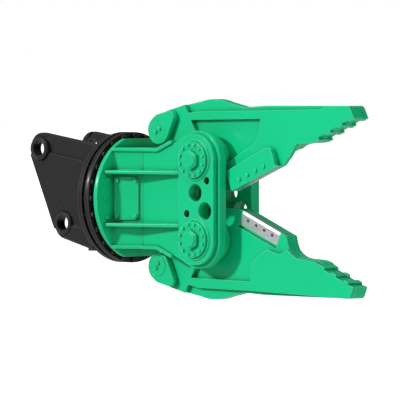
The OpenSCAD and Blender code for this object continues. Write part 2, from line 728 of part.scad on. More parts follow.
// Rounded lobe round the tail pin: centres and radii
lobe_shares = [[-0.369, 0.163, 0.08], [-0.353, 0.185, 0.072], [-0.283, 0.241, 0.034]];
upper_rim_shares = [[-0.093, 0.272], [0.842, 0.294], [0.902, 0.312]];
lower_rim_shares = [[-0.093, 0.278], [0.346, 0.288]];
tip_shares = [[1.05, 0.3155], [1.062, 0.313], [1.071, 0.306], [1.079, 0.292]];
hump_share = 0.343;
hump_angles = [106, 72];
hump_steps = 12;
core_tail_shares = [[-0.225, 0.075], [-0.239, 0.303]];
core_rim_shares = [[0.235, 0.299], [0.385, 0.309], [0.902, 0.314]];
throat_shares = [[0.835, 0.121], [0.814, 0.112], [0.793, 0.107], [0.762, 0.103], [0.732, 0.102],
                 [0.697, 0.1], [0.663, 0.096], [0.643, 0.09], [0.625, 0.082], [0.605, 0.069]];
upper_heel_shares = [[0.663, 0.098], [0.643, 0.072], [0.619, 0.037], [0.603, 0.018], [0.59, 0.006],
                     [0.575, -0.012], [0.559, -0.026]];
shoulder_shares = [[0.578, 0.063], [0.529, 0.046], [0.172, -0.102], [0.06, -0.13]];
back_heel_shares = [[0.586, 0.053], [0.572, 0.024], [0.562, -0.01], [0.559, -0.026]];
root_shares = [[0.202, -0.174], [0.035, -0.175], [-0.04, -0.124]];
lower_face_shares = [[0.798, 0.114], [0.732, 0.107], [0.663, 0.098], [0.625, 0.075], [0.592, 0.049],
                     [0.557, 0.069], [0.521, 0.075], [0.478, 0.065], [0.435, 0.051], [0.392, 0.077],
                     [0.353, 0.104], [0.33, 0.127], [0.318, 0.155], [0.313, 0.19], [0.313, 0.2345]];
pocket_start_shares = [[-0.151, 0.223], [-0.123, 0.169], [-0.07, 0.11]];
pocket_end_shares = [[0.121, -0.023], [0.243, 0.045], [0.311, 0.078], [0.345, 0.102], [0.37, 0.134],
                     [0.383, 0.172], [0.385, 0.236]];
holder_shares = [[0.202, -0.174], [0.559, -0.026], [0.533, -0.022], [0.516, 0.034], [0.504, 0.062],
                 [0.495, 0.071], [0.482, 0.0745], [0.464, 0.073], [0.452, 0.069], [0.175, -0.056],
                 [0.159, -0.063]];
// Corner of the tip, and the slope of the row of teeth
tip_corner_share = [1.103, 0.245];
lower_tip_share = [1.095, 0.25];
tooth_angle = 24;
// Teeth: number, inner end of the row, and the flat top and the height as shares of the pitch
tooth_count = 3;
row_end_share = 0.833;
tooth_flat_share = 0.4;
tooth_h_share = 0.1444;
tooth_pitch_share = (tip_corner_share[0] - row_end_share) / tooth_count;
tooth_dir = [cos(tooth_angle), sin(tooth_angle)];
tooth_up = [-tooth_dir[1], tooth_dir[0]];
// Corner of tooth k, counted from the tip, moved along the row by a shift in pitches
function tooth(k, shift) = tip_corner_share
    - (k + shift) * tooth_pitch_share * [1, tooth_dir[1] / tooth_dir[0]];
tooth_flat_shares = tooth_pitch_share * tooth_flat_share * tooth_dir;
tooth_h_shares = tooth_pitch_share * tooth_h_share * tooth_up;
// Rows of teeth from the tip inwards
upper_teeth = scaled([for (k = [0 : tooth_count - 1]) let (p = tooth(k, 0), q = p - tooth_flat_shares)
    each [p, q, q + tooth_h_shares, tooth(k + 1, 0) + tooth_h_shares]]);
lower_teeth = scaled([lower_tip_share, for (k = [0 : tooth_count - 1])
    let (p = tooth(k, 0.5), q = p - tooth_flat_shares)
    each [p + tooth_h_shares, p, q, if (k < tooth_count - 1) q + tooth_h_shares]]);
tail_pin = jaw_size * tail_pin_share;
tail_under = scaled(tail_under_shares);
jaw_tip = scaled(tip_shares);
hump = [for (p = arc_points(hump_share, hump_angles[0], hump_angles[1], hump_steps)) jaw_size * p];
// The cut line runs from the root to the heel
cut_start = jaw_size * root_shares[0];
cut_angle = 22.5;
cut_l = jaw_size * norm(upper_heel_shares[len(upper_heel_shares) - 1] - root_shares[0]);
blade_l = cut_l - blade_start - blade_end_gap;
blade_bolt_pitch = (blade_l - 2 * blade_bolt_end) / (blade_bolt_count - 1);
// Radius of the cheek ring around the pivot: it ends this far inside the inner corner of the pocket
hub_ring_gap = 0.4;
hub_ring_r = jaw_size * norm(pocket_start_shares[2]) - hub_ring_gap;
module on_cut_line() {
    translate(cut_start) rotate(cut_angle) translate([blade_start, 0]) children();
}
bush_bore_r = pivot_pin_d / 2 + jaw_bush_wall;
module jaw_bores(y0, y1) {
    rod_y([0, 0], bush_bore_r + fit, y0 - over, y1 + over);
    rod_y(tail_pin, tail_pin_d / 2 + fit, y0 - over, y1 + over);
}
module lobes(y0, y1) {
    slab(y0, y1) belt([for (i = [2, 1, 0]) jaw_size * lobe_shares[i]]);
}
module jaw_core(up, y0, y1) {
    difference() {
        union() {
            slab(y0, y1) polygon(concat(scaled(core_tail_shares), hump, scaled(core_rim_shares), jaw_tip,
                up ? upper_teeth : lower_teeth, scaled(throat_shares),
                up ? scaled(shoulder_shares) : scaled(concat(back_heel_shares, root_shares))));
            rod_y([0, 0], hub_ring_r, y0, y1);
        }
        rod_y([0, 0], bush_bore_r + fit, y0 - over, y1 + over);
    }
}
module pocket_outline() {
    polygon(scaled(concat(pocket_start_shares, pocket_end_shares)));
}
// Cheek with its pocket: kind 0 is the upper front, 1 the upper back, 2 the lower back, 3 the lower front
module cheek(kind, y0, y1) {
    head = concat(scaled(tail_top_shares), scaled(kind < 2 ? upper_rim_shares : lower_rim_shares), jaw_tip,
                  kind < 2 ? upper_teeth : lower_teeth);
    throat = scaled(kind == 3 ? [] : [for (i = [0 : kind == 0 ? 5 : 9]) throat_shares[i]]);
    heel = scaled(kind == 0 ? concat(upper_heel_shares, root_shares)
                  : kind == 1 ? shoulder_shares
                  : kind == 2 ? concat(back_heel_shares, root_shares)
                  : concat(lower_face_shares, pocket_start_shares));
    difference() {
        union() {
            difference() {
                slab(y0, y1) polygon(concat(head, throat, heel, tail_under, [tail_pin]));
                if (kind < 3) slab(y0 - over, y1 + over) pocket_outline();
                if (kind == 0) slab(y0 - over, y1 + over) on_cut_line()
                    translate([0, -over]) square([blade_l + slip, blade_h + slip + over]);
            }
            rod_y([0, 0], hub_ring_r, y0, y1);
            lobes(y0, y1);
        }
        jaw_bores(y0, y1);
    }
}
// Front face of the lower core: it clears the upper cheek and blade by the shear gap
lower_face_y = shear_gap - core_y;
blade_t = cheek_t;
holder_y = cheek_y + holder_t;
// Gap between the tail lobes and the plane of the hub's end
lobe_gap = 1;
lobe_y = hub_y - lobe_gap;
// Groove under the lower blade: distance from the blade, width and depth
groove_gap = 7;
groove_w = 14;
groove_depth = 12;
// Bevel on the blades: width on the face and depth
bevel_w = 16;
bevel_depth = 3;
// Bolt depth behind the blade, head radius and head height of the flush bolts in the lower blade
blade_bolt_seat = 22;
flush_head_r = 10;
flush_head_h = 8;
module at_blade() {
    translate([cut_start[0], 0, cut_start[1]]) rotate([0, -cut_angle, 0])
        translate([blade_start, 0, 0]) children();
}
module blade_bolt_places() {
    for (i = [0 : blade_bolt_count - 1])
        translate([blade_bolt_end + i * blade_bolt_pitch, 0, blade_h / 2]) children();
}
module blade_bar(y0, y1) {
    rotate([90, 0, 90]) linear_extrude(blade_l)
        polygon([[y0, bevel_w], [y0 + bevel_depth, 0], [y1, 0], [y1, blade_h], [y0, blade_h]]);
}
module upper_blade() placed(steel) at_jaw(true) at_blade() difference() {
    blade_bar(-cheek_y, -core_y);
    blade_bolt_places() rod_y([0, 0], blade_bolt_d / 2 + fit, -cheek_y - over, -core_y - bevel_depth);
}
module upper_holder() placed(green) at_jaw(true) difference() {
    slab(-holder_y, -cheek_y) polygon(scaled(holder_shares));
    at_blade() blade_bolt_places()
        rod_y([0, 0], blade_bolt_d / 2 + slip, -holder_y - over, over - cheek_y);
}
module upper_blade_bolts() placed(green) at_jaw(true) at_blade() blade_bolt_places() {
    rod_y([0, 0], blade_bolt_d / 2, -holder_y, -core_y - bevel_depth);
    translate([0, -holder_y, 0]) rotate([90, 0, 0])
        cylinder(d = blade_bolt_d * head_share, h = blade_bolt_d * head_h_share, $fn = 6);
}
module lower_blade() placed(steel) at_jaw(false) at_blade() difference() {
    blade_bar(lower_face_y, lower_face_y + blade_t);
    blade_bolt_places() {
        rod_y([0, 0], blade_bolt_d / 2 + fit, lower_face_y - over, lower_face_y + blade_t + over);
        rod_y([0, 0], flush_head_r + fit, lower_face_y - over, lower_face_y + flush_head_h);
    }
}
module lower_blade_bolts() placed(steel) at_jaw(false) at_blade() blade_bolt_places() {
    rod_y([0, 0], blade_bolt_d / 2, lower_face_y, lower_face_y + blade_t + blade_bolt_seat);
    rod_y([0, 0], flush_head_r, lower_face_y + fit, lower_face_y + flush_head_h);
}
module upper_core() placed(green) at_jaw(true) jaw_core(true, -core_y, core_y);
module lower_core() placed(green) at_jaw(false) difference() {
    jaw_core(false, lower_face_y, core_y);
    slab(lower_face_y - over, lower_face_y + blade_t) on_cut_line()
        translate([0, -over]) square([blade_l, blade_h + over]);
    slab(lower_face_y - over, lower_face_y + groove_depth) on_cut_line()
        translate([0, blade_h + groove_gap]) square([blade_l, groove_w]);
    at_blade() blade_bolt_places()
        rod_y([0, 0], blade_bolt_d / 2 + fit, lower_face_y + blade_t - over,
            lower_face_y + blade_t + blade_bolt_seat);
}
module upper_cheek_front() placed(green) at_jaw(true) cheek(0, -cheek_y, -core_y);
module upper_cheek_back() placed(green) at_jaw(true) cheek(1, core_y, cheek_y);
module lower_cheek_back() placed(green) at_jaw(false) cheek(2, core_y, cheek_y);
module lower_cheek_front() placed(green) at_jaw(false) cheek(3, -cheek_y, lower_face_y);
// Lobes outside the jaw tails, with a counterbore for the pin cap
cap_d = 114;
cap_t = 12;
cap_bolt_d = 12;
cap_bolt_seat = 14;
// Places of the two cap bolts as shares of the cap diameter, for the upper and the lower jaw
cap_bolt_shares = [[[-0.115, -0.045], [0.14, 0.115]], [[0.045, -0.13], [-0.09, 0.115]]];
cap_y = lobe_y - cap_t;
module tail_lobes(up) {
    at_jaw(up) both_sides() difference() {
        lobes(-lobe_y, -cheek_y);
        rod_y(tail_pin, tail_pin_d / 2 + fit, -lobe_y - over, over - cheek_y);
        rod_y(tail_pin, cap_d / 2 + fit, -lobe_y - over, -cap_y);
    }
}
module upper_tail_lobes() placed(green) tail_lobes(true);
module lower_tail_lobes() placed(green) tail_lobes(false);
module cap_bolt_places(up) {
    for (p = cap_bolt_shares[up ? 0 : 1])
        translate([tail_pin[0] + cap_d * p[0], 0, tail_pin[1] + cap_d * p[1]])
        children();
}
module tail_pin_body(up) {
    at_jaw(up) difference() {
        rod_y(tail_pin, tail_pin_d / 2, -cap_y, cap_y);
        both_sides() cap_bolt_places(up)
            rod_y([0, 0], cap_bolt_d / 2 + fit, -cap_y - over, cap_bolt_seat - cap_y);
    }
}
module upper_tail_pin() placed(steel) tail_pin_body(true);
module lower_tail_pin() placed(steel) tail_pin_body(false);
module pin_caps(up) {
    at_jaw(up) both_sides() {
        difference() {
            rod_y(tail_pin, cap_d / 2, -lobe_y, -cap_y);
            cap_bolt_places(up) rod_y([0, 0], cap_bolt_d / 2 + fit, -lobe_y - over, over - cap_y);
        }
        cap_bolt_places(up) {
            rod_y([0, 0], cap_bolt_d / 2, -lobe_y, cap_bolt_seat - cap_y);
            translate([0, -lobe_y, 0]) rotate([90, 0, 0])
                cylinder(d = cap_bolt_d * head_share, h = cap_bolt_d * head_h_share, $fn = 6);
        }
    }
}
module upper_pin_caps() placed(green) pin_caps(true);
module lower_pin_caps() placed(green) pin_caps(false);
module jaw_hub(up) {
    at_jaw(up) both_sides() slab(-hub_y, -cheek_y) difference() {
        circle(r = hub_r);
        circle(r = bush_bore_r + fit);
    }
}
module upper_hub() placed(green) jaw_hub(true);
module lower_hub() placed(green) jaw_hub(false);
module jaw_bush(up) {
    at_jaw(up) slab(-hub_y, hub_y) difference() {
        circle(r = bush_bore_r);
        circle(r = pivot_pin_d / 2 + fit);
    }
}
module upper_bush() placed("peru") jaw_bush(true);
module lower_bush() placed("peru") jaw_bush(false);

// Cylinder between the two tail pins: the barrel hangs on the upper one, the rod stands on the lower one
cyl_pin_z = pivot_z + tail_pin[1];
// Length of the slim necks, from the pins to the barrel and to the rod
barrel_neck_l = 176;
rod_neck_l = 132;
eye_neck_half = 45;
barrel_rod_gap = 7;
barrel_l = 2 * cyl_pin_z - barrel_neck_l - rod_neck_l - barrel_rod_gap;
barrel_head_t = 30;
gland_l = 50;
piston_l = 60;
piston_spigot_d = 50;
piston_rest_gap = 5;
barrel_port_d = 36;
barrel_port_h = 14;
barrel_top_z = cyl_pin_z - barrel_neck_l;
barrel_low_z = barrel_top_z - barrel_l;
piston_top_z = barrel_top_z - barrel_head_t - piston_rest_gap;
module cylinder_barrel() placed(dark) translate([cyl_x, 0, 0]) difference() {
    union() {
        rod_y([0, cyl_pin_z], eye_r, -eye_w / 2, eye_w / 2);
        box([-eye_neck_half, -eye_w / 2, barrel_top_z - over], [eye_neck_half, eye_w / 2, cyl_pin_z]);
        translate([0, 0, barrel_low_z]) cylinder(d = barrel_d, h = barrel_l);
        for (z = [barrel_low_z + gland_l + barrel_port_d, barrel_top_z - barrel_port_d])
            translate([0, 0, z]) mirror([1, 0, 0]) rotate([0, 90, 0])
                cylinder(d = barrel_port_d, h = barrel_d / 2 + barrel_port_h);
    }
    rod_y([0, cyl_pin_z], tail_pin_d / 2 + fit, -eye_w, eye_w);
    translate([0, 0, barrel_low_z - over]) cylinder(d = barrel_bore, h = barrel_l - barrel_head_t + over);
    for (z = [barrel_low_z + gland_l + barrel_port_d, barrel_top_z - barrel_port_d])
        translate([-barrel_bore / 2 + over, 0, z]) mirror([1, 0, 0]) rotate([0, 90, 0])
            cylinder(d = barrel_port_d / 2, h = barrel_d / 2);
}
module cylinder_gland() placed(steel) translate([cyl_x, 0, barrel_low_z]) difference() {
    cylinder(r = barrel_bore / 2 - fit, h = gland_l);
    translate([0, 0, -over]) cylinder(r = rod_d / 2 + fit, h = gland_l + 2 * over);
}
module cylinder_rod() placed(steel) translate([cyl_x, 0, 0]) difference() {
    union() {
        rod_y([0, -cyl_pin_z], eye_r, -eye_w / 2, eye_w / 2);
        box([-eye_neck_half, -eye_w / 2, -cyl_pin_z], [eye_neck_half, eye_w / 2, rod_neck_l - cyl_pin_z]);
        translate([0, 0, rod_neck_l - cyl_pin_z])
            cylinder(d = rod_d, h = piston_top_z - piston_l - rod_neck_l + cyl_pin_z);
        translate([0, 0, piston_top_z - piston_l - over])
            cylinder(d = piston_spigot_d, h = piston_l + over);
    }
    rod_y([0, -cyl_pin_z], tail_pin_d / 2 + fit, -eye_w, eye_w);
}
module cylinder_piston() placed(steel) translate([cyl_x, 0, piston_top_z - piston_l]) difference() {
    cylinder(r = barrel_bore / 2 - fit, h = piston_l);
    translate([0, 0, -over]) cylinder(r = piston_spigot_d / 2 + fit, h = piston_l + 2 * over);
}

ear_plate_front();
ear_plate_back();
ear_doublers();
ear_bosses();
pin_bushes();
bracket_plate();
bracket_webs();
bearing_outer_ring();
ring_bolts();
slew_motor();
swivel_core();
slew_pinion();
bearing_inner_ring();
bearing_balls();
turning_flange();
flange_bolts();
neck_plate_front();
neck_plate_back();
deck_top();
deck_bottom();
neck_ribs();
access_covers();
cover_bolts();
side_plate_front();
side_plate_back();
pivot_block_front();
pivot_block_back();
pivot_pins();
pin_flanges();
flange_screws();
pivot_nuts();
thrust_washers();
swivel_housing();
upper_core();
upper_cheek_front();
upper_cheek_back();
upper_tail_lobes();
upper_hub();
upper_bush();
upper_holder();
upper_blade();
upper_blade_bolts();
upper_tail_pin();
upper_pin_caps();
lower_core();
lower_cheek_front();
lower_cheek_back();
lower_tail_lobes();
lower_hub();
lower_bush();
lower_blade();
lower_blade_bolts();
lower_tail_pin();
lower_pin_caps();
cylinder_barrel();
cylinder_gland();
cylinder_rod();
cylinder_piston();
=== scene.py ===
"""Looks of the dismantling shear: paint, machined steel, weld beads, studio and camera.

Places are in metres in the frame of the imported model: the arm pin bore is the origin, X runs along
the slewing axis to the jaw tips, Y along the arm pin, Z up. Places in millimetres are counted from
the middle of the turning flange's front face and go through at().
"""

import json
import math

import bmesh
import bpy
import numpy as np
from mathutils import Matrix, Vector


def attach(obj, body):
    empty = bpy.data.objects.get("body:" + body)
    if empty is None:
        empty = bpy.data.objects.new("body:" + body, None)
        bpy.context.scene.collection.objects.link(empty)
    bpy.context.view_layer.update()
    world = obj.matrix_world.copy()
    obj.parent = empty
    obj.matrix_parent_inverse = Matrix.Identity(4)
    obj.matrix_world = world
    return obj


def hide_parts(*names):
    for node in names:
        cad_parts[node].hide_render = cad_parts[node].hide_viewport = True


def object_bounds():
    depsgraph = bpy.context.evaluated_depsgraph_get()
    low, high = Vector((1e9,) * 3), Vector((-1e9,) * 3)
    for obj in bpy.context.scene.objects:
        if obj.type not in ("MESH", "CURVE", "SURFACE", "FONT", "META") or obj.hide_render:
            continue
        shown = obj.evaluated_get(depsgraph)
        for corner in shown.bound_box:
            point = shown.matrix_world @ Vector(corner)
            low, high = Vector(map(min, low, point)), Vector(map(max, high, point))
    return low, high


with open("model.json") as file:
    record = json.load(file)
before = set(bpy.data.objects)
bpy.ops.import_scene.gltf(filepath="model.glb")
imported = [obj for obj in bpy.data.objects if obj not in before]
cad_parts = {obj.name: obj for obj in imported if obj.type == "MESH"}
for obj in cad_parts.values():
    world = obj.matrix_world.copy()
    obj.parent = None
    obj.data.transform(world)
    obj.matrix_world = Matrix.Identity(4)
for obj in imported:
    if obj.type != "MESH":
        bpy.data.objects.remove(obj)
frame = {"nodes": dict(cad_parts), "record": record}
cad_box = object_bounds()

# Place of the turning flange's front face and of the slewing axis, in metres
FLANGE_X = 0.560
AXIS_Z = -0.275


def at(x, y, z):
    """Place in metres of a point in millimetres from the middle of the flange's front face."""
    return (x / 1000 + FLANGE_X, y / 1000, z / 1000 + AXIS_Z)


# ---------------------------------------------------------------- shader groups
# Samples of each Bevel and Ambient Occlusion node
NODE_SAMPLES = 6
# Lean of a rounded normal, one minus the cosine, over which an edge's band of painted highlight sets
# in
EDGE_BAND = (0.03, 0.25)
# Paint noise in cycles per metre, and the noise values over which its two masks set in
GRAIN_SCALE, SPECK_SCALE, PATCH_SCALE = 260.0, 90.0, 2.6
PATCH_BAND, SPECK_BAND = (0.35, 0.7), (0.62, 0.72)
# Reach in metres of the shade in corners, and the occlusion over which it sets in
RECESS_REACH = 0.05
RECESS_BAND = (0.22, 0.72)
# Milling lines in cycles per metre, along and across the grinding
LINES_ALONG, LINES_ACROSS = 6.0, 420.0


def new_group(name, inputs, outputs):
    """An empty node group from inputs {name: default} and outputs {name: socket type}."""
    g = bpy.data.node_groups.new(name, "ShaderNodeTree")
    for label, value in inputs.items():
        kind = "NodeSocketFloat" if isinstance(value, (int, float)) else "NodeSocketColor"
        g.interface.new_socket(label, in_out="INPUT", socket_type=kind).default_value = value
    for label, kind in outputs.items():
        g.interface.new_socket(label, in_out="OUTPUT", socket_type=kind)
    return g, g.nodes.new("NodeGroupInput"), g.nodes.new("NodeGroupOutput")


def math_node(tree, operation, a, b=None, clamp=False):
    """A Math node over two sockets or numbers; returns its value socket."""
    n = tree.nodes.new("ShaderNodeMath")
    n.operation = operation
    n.use_clamp = clamp
    for i, v in enumerate((a, b)):
        if v is None:
            continue
        if isinstance(v, (int, float)):
            n.inputs[i].default_value = v
        else:
            tree.links.new(v, n.inputs[i])
    return n.outputs[0]


def ramp(tree, value, low, high):
    """Smooth step of a value from 0 at low to 1 at high."""
    n = tree.nodes.new("ShaderNodeMapRange")
    n.interpolation_type = "SMOOTHSTEP"
    n.inputs["From Min"].default_value = low
    n.inputs["From Max"].default_value = high
    tree.links.new(value, n.inputs["Value"])
    return n.outputs["Result"]


def noise(tree, scale, detail, vector):
    """Noise texture value at a scale in cycles per metre."""
    n = tree.nodes.new("ShaderNodeTexNoise")
    n.inputs["Detail"].default_value = detail
    if isinstance(scale, (int, float)):
        n.inputs["Scale"].default_value = scale
    else:
        tree.links.new(scale, n.inputs["Scale"])
    tree.links.new(vector, n.inputs["Vector"])
    return n.outputs["Fac"]


def mix_colour(tree, fac, a, b):
    """Colour a turned into colour b by the socket fac; a and b are sockets or RGB tuples."""
    n = tree.nodes.new("ShaderNodeMix")
    n.data_type = "RGBA"
    tree.links.new(fac, n.inputs[0])
    # Inputs 6 and 7 and output 2 are the Mix node's colour sockets
    for i, v in ((6, a), (7, b)):
        if isinstance(v, tuple):
            n.inputs[i].default_value = (*v, 1)
        else:
            tree.links.new(v, n.inputs[i])
    return n.outputs[2]


def build_rounded_edges():
    """Group: Normal of an edge rounded to Radius, and Edge, 1 on the rounded band, 0 on flat faces;
    the enamel lays its painted highlight on Edge.

    The band is where the rounded normal leaves the face normal: one minus their dot product,
    stepped over EDGE_BAND.
    """
    g, gin, gout = new_group("rounded edges", {"Radius": 0.004},
                             {"Edge": "NodeSocketFloat", "Normal": "NodeSocketVector"})
    bevel = g.nodes.new("ShaderNodeBevel")
    bevel.samples = NODE_SAMPLES
    g.links.new(gin.outputs["Radius"], bevel.inputs["Radius"])
    geo = g.nodes.new("ShaderNodeNewGeometry")
    dot = g.nodes.new("ShaderNodeVectorMath")
    dot.operation = "DOT_PRODUCT"
    g.links.new(bevel.outputs[0], dot.inputs[0])
    g.links.new(geo.outputs["True Normal"], dot.inputs[1])
    lean = math_node(g, "SUBTRACT", 1.0, dot.outputs["Value"])
    g.links.new(ramp(g, lean, *EDGE_BAND), gout.inputs["Edge"])
    g.links.new(bevel.outputs[0], gout.inputs["Normal"])
    return g


def build_surface_grain():
    """Group: Height of a sprayed surface, and masks of slow Patches and of fine Specks over it.

    Height is fine noise; Patches and Specks are noises stepped over PATCH_BAND and SPECK_BAND.
    """
    g, gin, gout = new_group("surface grain", {"Grain": GRAIN_SCALE, "Speck Size": SPECK_SCALE},
                             {"Height": "NodeSocketFloat", "Patches": "NodeSocketFloat",
                              "Specks": "NodeSocketFloat"})
    co = g.nodes.new("ShaderNodeTexCoord").outputs["Object"]
    g.links.new(noise(g, gin.outputs["Grain"], detail=3.0, vector=co), gout.inputs["Height"])
    patches = noise(g, PATCH_SCALE, detail=4.0, vector=co)
    g.links.new(ramp(g, patches, *PATCH_BAND), gout.inputs["Patches"])
    specks = noise(g, gin.outputs["Speck Size"], detail=2.0, vector=co)
    g.links.new(ramp(g, specks, *SPECK_BAND), gout.inputs["Specks"])
    return g


def build_recess_shade():
    """Group: Recess, the mask of corners and gaps from ambient occlusion over Reach, where painted
    shade goes.
    """
    g, gin, gout = new_group("recess shade", {"Reach": RECESS_REACH}, {"Recess": "NodeSocketFloat"})
    ao = g.nodes.new("ShaderNodeAmbientOcclusion")
    ao.samples = NODE_SAMPLES
    g.links.new(gin.outputs["Reach"], ao.inputs["Distance"])
    hidden = math_node(g, "SUBTRACT", 1.0, ao.outputs["AO"])
    g.links.new(ramp(g, hidden, *RECESS_BAND), gout.inputs["Recess"])
    return g


def build_milling():
    """Group: Lines of a ground or turned surface, a noise stretched along X."""
    g, gin, gout = new_group("milling lines", {"Along": LINES_ALONG, "Across": LINES_ACROSS},
                             {"Lines": "NodeSocketFloat"})
    co = g.nodes.new("ShaderNodeTexCoord").outputs["Object"]
    part = g.nodes.new("ShaderNodeSeparateXYZ")
    g.links.new(co, part.inputs[0])
    join = g.nodes.new("ShaderNodeCombineXYZ")
    g.links.new(math_node(g, "MULTIPLY", part.outputs[0], gin.outputs["Along"]), join.inputs[0])
    g.links.new(math_node(g, "MULTIPLY", part.outputs[1], gin.outputs["Across"]), join.inputs[1])
    g.links.new(math_node(g, "MULTIPLY", part.outputs[2], gin.outputs["Across"]), join.inputs[2])
    g.links.new(noise(g, 1.0, detail=3.0, vector=join.outputs[0]), gout.inputs["Lines"])
    return g


ROUNDED_EDGES = build_rounded_edges()
SURFACE_GRAIN = build_surface_grain()
RECESS_SHADE = build_recess_shade()
MILLING_LINES = build_milling()


# ---------------------------------------------------------------- materials
# Enamel: share and tone of its patches, share of the shade in corners, roughness added on specks
PATCH_SHARE, PATCH_TONE, SHADE_SHARE, SPECK_ROUGHNESS = 0.35, 0.9, 0.75, 0.12
PAINT_SPECULAR, COAT_WEIGHT, COAT_ROUGHNESS = 0.22, 0.08, 0.12
# Machined steel: share, tone and reach in metres of the painted shade in corners, and radius of its
# edges
CORNER_SHADE_SHARE, CORNER_SHADE_TONE, CORNER_SHADE_REACH = 0.6, 0.35, 0.03
STEEL_EDGE = 0.002
# Ends of the smooth step that turns milling lines into roughness; a material's shift is added to
# both, so a larger shift gives a lower roughness
LINES_BAND = (-2.0, 3.0)
# Heights in metres of the paint's grain and of the milling lines
PAINT_BUMP, LINES_BUMP = 0.00012, 0.00008


def place(tree, group, **values):
    """Put a node group into a material with its own input values."""
    n = tree.nodes.new("ShaderNodeGroup")
    n.node_tree = group
    for label, value in values.items():
        n.inputs[label].default_value = value
    return n


def start_material(name):
    """A new node material; returns it, its tree and its Principled shader."""
    m = bpy.data.materials.new(name)
    m.use_nodes = True
    return m, m.node_tree, m.node_tree.nodes["Principled BSDF"]


def bumped(tree, shader, height, distance, normal):
    """Feed the shader's normal from a bump of the height in metres over the rounded normal."""
    b = tree.nodes.new("ShaderNodeBump")
    b.inputs["Strength"].default_value = 1.0
    b.inputs["Distance"].default_value = distance
    tree.links.new(height, b.inputs["Height"])
    tree.links.new(normal, b.inputs["Normal"])
    tree.links.new(b.outputs[0], shader.inputs["Normal"])


def enamel(name, face, edge, shade, rough, radius, edge_amount=1.0):
    """Sprayed enamel: a face colour, a painted highlight in a paler colour on edges, painted shade
    in a deeper colour in corners.
    """
    m, t, s = start_material(name)
    edges = place(t, ROUNDED_EDGES, Radius=radius)
    grain = place(t, SURFACE_GRAIN)
    recess = place(t, RECESS_SHADE)
    patches = math_node(t, "MULTIPLY", grain.outputs["Patches"], PATCH_SHARE)
    tone = mix_colour(t, patches, face, tuple(PATCH_TONE * c for c in face))
    # Painted shade: the shade colour laid into corners and gaps by ambient occlusion
    corners = math_node(t, "MULTIPLY", recess.outputs["Recess"], SHADE_SHARE)
    tone = mix_colour(t, corners, tone, shade)
    # Painted highlight: the paler edge colour on the rounded band of edges, kept out of the corners
    band = math_node(t, "MULTIPLY", edges.outputs["Edge"], edge_amount)
    open_face = math_node(t, "SUBTRACT", 1.0, recess.outputs["Recess"], clamp=True)
    band = math_node(t, "MULTIPLY", band, open_face)
    t.links.new(mix_colour(t, band, tone, edge), s.inputs["Base Color"])
    gloss = math_node(t, "MULTIPLY_ADD", grain.outputs["Specks"], SPECK_ROUGHNESS)
    # Input 2 is the addend
    gloss.node.inputs[2].default_value = rough
    t.links.new(gloss, s.inputs["Roughness"])
    s.inputs["Specular IOR Level"].default_value = PAINT_SPECULAR
    s.inputs["Coat Weight"].default_value = COAT_WEIGHT
    s.inputs["Coat Roughness"].default_value = COAT_ROUGHNESS
    bumped(t, s, grain.outputs["Height"], PAINT_BUMP, edges.outputs["Normal"])
    return m


def machined(name, colour, dark, shift, across=LINES_ACROSS):
    """Ground metal: fine milling lines in tone and height, and painted shade that darkens the
    corners.

    Shift isn't the roughness: shifts of 0.12 to 0.35 give a roughness of about 0.46 to 0.40.
    """
    m, t, s = start_material(name)
    edges = place(t, ROUNDED_EDGES, Radius=STEEL_EDGE)
    lines = place(t, MILLING_LINES, Across=across)
    recess = place(t, RECESS_SHADE, Reach=CORNER_SHADE_REACH)
    tone = mix_colour(t, lines.outputs["Lines"], dark, colour)
    # Painted shade: a darker tone in corners from ambient occlusion
    corner_shade = math_node(t, "MULTIPLY", recess.outputs["Recess"], CORNER_SHADE_SHARE)
    tone = mix_colour(t, corner_shade, tone, tuple(CORNER_SHADE_TONE * c for c in dark))
    t.links.new(tone, s.inputs["Base Color"])
    gloss = ramp(t, lines.outputs["Lines"], LINES_BAND[0] + shift, LINES_BAND[1] + shift)
    t.links.new(gloss, s.inputs["Roughness"])
    s.inputs["Metallic"].default_value = 1.0
    bumped(t, s, lines.outputs["Lines"], LINES_BUMP, edges.outputs["Normal"])
    return m


# Edge colours are painted highlights on edges, shade colours are painted shade in corners
green = enamel("green enamel", face=(0.003, 0.560, 0.240), edge=(0.30, 1.0, 0.72),
               shade=(0.0, 0.10, 0.036), rough=0.30, radius=0.0048)
black = enamel("black enamel", face=(0.020, 0.020, 0.0205), edge=(0.30, 0.30, 0.31),
               shade=(0.004, 0.004, 0.004), rough=0.36, radius=0.005, edge_amount=0.7)
steel = machined("turned steel", (0.56, 0.57, 0.59), (0.40, 0.41, 0.43), 0.30)
blade = machined("ground blade steel", (0.72, 0.73, 0.75), (0.52, 0.53, 0.56), 0.25)
chrome = machined("chromed rod", (0.80, 0.81, 0.83), (0.72, 0.73, 0.75), 0.12, across=900.0)
bronze = machined("bearing bronze", (0.62, 0.42, 0.20), (0.46, 0.30, 0.14), 0.30)
bolt_steel = machined("dark bolt steel", (0.20, 0.20, 0.21), (0.10, 0.10, 0.11), 0.35)

FINISH = {"green_paint": green, "black_paint": black, "bare_steel": steel, "blade_steel": blade,
          "rod_chrome": chrome, "bronze": bronze}
for part in frame["record"]["subparts"]:
    mesh = frame["nodes"][part["node"]].data
    mesh.materials.clear()
    dark = part["node"] == "lower_blade_bolts"
    mesh.materials.append(bolt_steel if dark else FINISH[part["material_slot"]])


# ---------------------------------------------------------------- chamfered plates
BODY_OF = {node: body for body, nodes in frame["record"]["behaviour"]["bodies"].items()
           for node in nodes}
